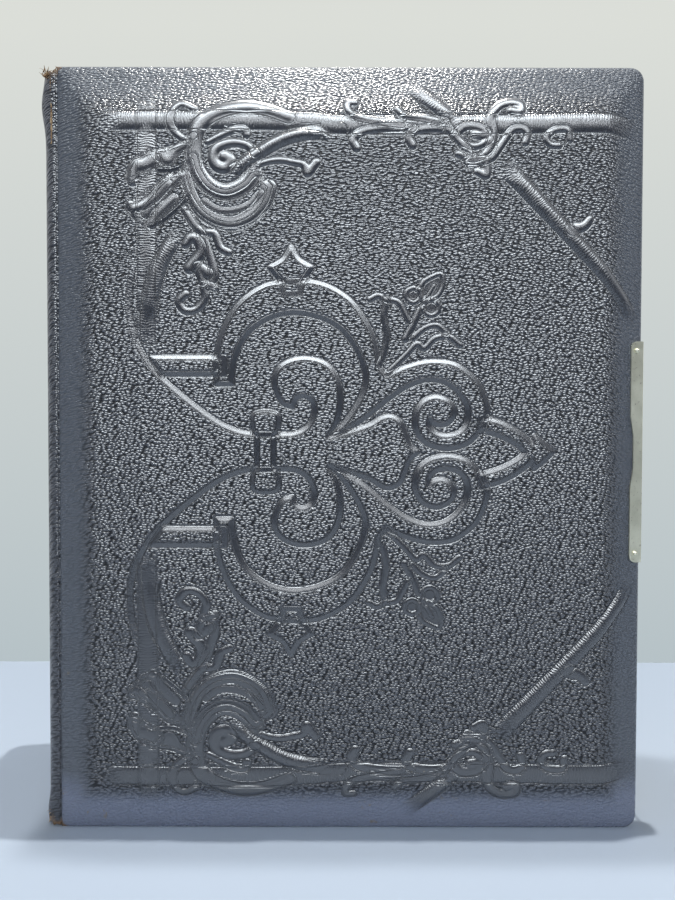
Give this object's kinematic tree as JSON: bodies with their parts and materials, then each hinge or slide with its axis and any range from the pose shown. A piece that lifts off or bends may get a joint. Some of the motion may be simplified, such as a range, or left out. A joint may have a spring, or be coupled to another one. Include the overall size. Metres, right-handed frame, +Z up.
{
  "type": "photograph album",
  "caption": "Upright photograph album with bevelled leather covers, hinged leaves with windows and card pockets, and a hooked metal clasp at the fore edge.",
  "frame": {"origin": "middle of the standing album's bounding box, on the surface it stands on", "axes": "+Z up along the height; -Y is the front cover's outward side; the spine is at -X and the clasp at +X"},
  "size_m": [0.2206, 0.0622, 0.28],
  "materials": {
    "black_leather": "black pebble-grained leather, embossed",
    "nickel_plate": "dulled nickel plate",
    "staple_wire": "tinned iron wire",
    "linen": "unbleached linen",
    "band_cloth": "rolled striped cloth",
    "lining_paper": "glazed paper",
    "leaf_card": "cream card with gilt edges",
    "pasteboard": "grey-brown pasteboard"
  },
  "bodies": {
    "spine": {"spine_card": "pasteboard", "spine_leather": "black_leather", "spine_mull": "linen", "head_band": "band_cloth", "tail_band": "band_cloth", "guard_staples": "staple_wire", "leaf_guards": "pasteboard"},
    "front_cover": {"front_board": "pasteboard", "front_panel": "pasteboard", "front_leather": "black_leather", "front_lining": "lining_paper", "catch_plate": "nickel_plate", "catch_pins": "nickel_plate", "catch_bar": "nickel_plate"},
    "rear_cover": {"rear_board": "pasteboard", "rear_panel": "pasteboard", "rear_leather": "black_leather", "rear_lining": "lining_paper", "clasp_hinge_plate": "nickel_plate", "clasp_plate_pins": "nickel_plate", "clasp_hinge_pin": "nickel_plate"},
    "clasp": {"clasp_flap": "nickel_plate"},
    "turning_leaf_01": {"leaf_01": "leaf_card", "leaf_01_cloth": "linen"},
    "turning_leaf_02": {"leaf_02": "leaf_card", "leaf_02_cloth": "linen"},
    "turning_leaf_03": {"leaf_03": "leaf_card", "leaf_03_cloth": "linen"},
    "turning_leaf_04": {"leaf_04": "leaf_card", "leaf_04_cloth": "linen"},
    "turning_leaf_05": {"leaf_05": "leaf_card", "leaf_05_cloth": "linen"},
    "turning_leaf_06": {"leaf_06": "leaf_card", "leaf_06_cloth": "linen"},
    "turning_leaf_07": {"leaf_07": "leaf_card", "leaf_07_cloth": "linen"},
    "turning_leaf_08": {"leaf_08": "leaf_card", "leaf_08_cloth": "linen"},
    "turning_leaf_09": {"leaf_09": "leaf_card", "leaf_09_cloth": "linen"},
    "turning_leaf_10": {"leaf_10": "leaf_card", "leaf_10_cloth": "linen"},
    "turning_leaf_11": {"leaf_11": "leaf_card", "leaf_11_cloth": "linen"},
    "turning_leaf_12": {"leaf_12": "leaf_card", "leaf_12_cloth": "linen"},
    "turning_leaf_13": {"leaf_13": "leaf_card", "leaf_13_cloth": "linen"},
    "turning_leaf_14": {"leaf_14": "leaf_card", "leaf_14_cloth": "linen"}
  },
  "joints": [
    {"name": "front_cover_hinge", "type": "hinge", "parent": "spine", "child": "front_cover", "pos_m": [-0.1048, -0.0275, 0.14], "axis": [0, 0, -1], "range_deg": [0, 165]},
    {"name": "rear_cover_hinge", "type": "hinge", "parent": "spine", "child": "rear_cover", "pos_m": [-0.1048, 0.0275, 0.14], "axis": [0, 0, 1], "range_deg": [0, 165]},
    {"name": "clasp_hinge", "type": "hinge", "parent": "rear_cover", "child": "clasp", "pos_m": [0.1086, 0.0207, 0.14], "axis": [0, 0, 1], "range_deg": [0, 100]},
    {"name": "leaf_01_hinge", "type": "hinge", "parent": "spine", "child": "turning_leaf_01", "pos_m": [-0.09715, -0.02015, 0.14], "axis": [0, 0, -1], "range_deg": [0, 80.01]},
    {"name": "leaf_02_hinge", "type": "hinge", "parent": "spine", "child": "turning_leaf_02", "pos_m": [-0.09715, -0.01705, 0.14], "axis": [0, 0, -1], "range_deg": [0, 68.58]},
    {"name": "leaf_03_hinge", "type": "hinge", "parent": "spine", "child": "turning_leaf_03", "pos_m": [-0.09715, -0.01395, 0.14], "axis": [0, 0, -1], "range_deg": [0, 57.15]},
    {"name": "leaf_04_hinge", "type": "hinge", "parent": "spine", "child": "turning_leaf_04", "pos_m": [-0.09715, -0.01085, 0.14], "axis": [0, 0, -1], "range_deg": [0, 45.72]},
    {"name": "leaf_05_hinge", "type": "hinge", "parent": "spine", "child": "turning_leaf_05", "pos_m": [-0.09715, -0.00775, 0.14], "axis": [0, 0, -1], "range_deg": [0, 34.3]},
    {"name": "leaf_06_hinge", "type": "hinge", "parent": "spine", "child": "turning_leaf_06", "pos_m": [-0.09715, -0.00465, 0.14], "axis": [0, 0, -1], "range_deg": [0, 22.87]},
    {"name": "leaf_07_hinge", "type": "hinge", "parent": "spine", "child": "turning_leaf_07", "pos_m": [-0.09715, -0.00155, 0.14], "axis": [0, 0, -1], "range_deg": [0, 11.44]},
    {"name": "leaf_08_hinge", "type": "hinge", "parent": "spine", "child": "turning_leaf_08", "pos_m": [-0.09715, 0.00155, 0.14], "axis": [0, 0, 1], "range_deg": [0, 11.44]},
    {"name": "leaf_09_hinge", "type": "hinge", "parent": "spine", "child": "turning_leaf_09", "pos_m": [-0.09715, 0.00465, 0.14], "axis": [0, 0, 1], "range_deg": [0, 22.87]},
    {"name": "leaf_10_hinge", "type": "hinge", "parent": "spine", "child": "turning_leaf_10", "pos_m": [-0.09715, 0.00775, 0.14], "axis": [0, 0, 1], "range_deg": [0, 34.3]},
    {"name": "leaf_11_hinge", "type": "hinge", "parent": "spine", "child": "turning_leaf_11", "pos_m": [-0.09715, 0.01085, 0.14], "axis": [0, 0, 1], "range_deg": [0, 45.72]},
    {"name": "leaf_12_hinge", "type": "hinge", "parent": "spine", "child": "turning_leaf_12", "pos_m": [-0.09715, 0.01395, 0.14], "axis": [0, 0, 1], "range_deg": [0, 57.15]},
    {"name": "leaf_13_hinge", "type": "hinge", "parent": "spine", "child": "turning_leaf_13", "pos_m": [-0.09715, 0.01705, 0.14], "axis": [0, 0, 1], "range_deg": [0, 68.58]},
    {"name": "leaf_14_hinge", "type": "hinge", "parent": "spine", "child": "turning_leaf_14", "pos_m": [-0.09715, 0.02015, 0.14], "axis": [0, 0, 1], "range_deg": [0, 80.01]}
  ],
  "couplings": [
    {"joint": "leaf_01_hinge", "follows": "front_cover_hinge", "ratio": 0.48485},
    {"joint": "leaf_02_hinge", "follows": "front_cover_hinge", "ratio": 0.41558},
    {"joint": "leaf_03_hinge", "follows": "front_cover_hinge", "ratio": 0.34632},
    {"joint": "leaf_04_hinge", "follows": "front_cover_hinge", "ratio": 0.27706},
    {"joint": "leaf_05_hinge", "follows": "front_cover_hinge", "ratio": 0.20779},
    {"joint": "leaf_06_hinge", "follows": "front_cover_hinge", "ratio": 0.13853},
    {"joint": "leaf_07_hinge", "follows": "front_cover_hinge", "ratio": 0.069264},
    {"joint": "leaf_08_hinge", "follows": "rear_cover_hinge", "ratio": 0.069264},
    {"joint": "leaf_09_hinge", "follows": "rear_cover_hinge", "ratio": 0.13853},
    {"joint": "leaf_10_hinge", "follows": "rear_cover_hinge", "ratio": 0.20779},
    {"joint": "leaf_11_hinge", "follows": "rear_cover_hinge", "ratio": 0.27706},
    {"joint": "leaf_12_hinge", "follows": "rear_cover_hinge", "ratio": 0.34632},
    {"joint": "leaf_13_hinge", "follows": "rear_cover_hinge", "ratio": 0.41558},
    {"joint": "leaf_14_hinge", "follows": "rear_cover_hinge", "ratio": 0.48485}
  ]
}
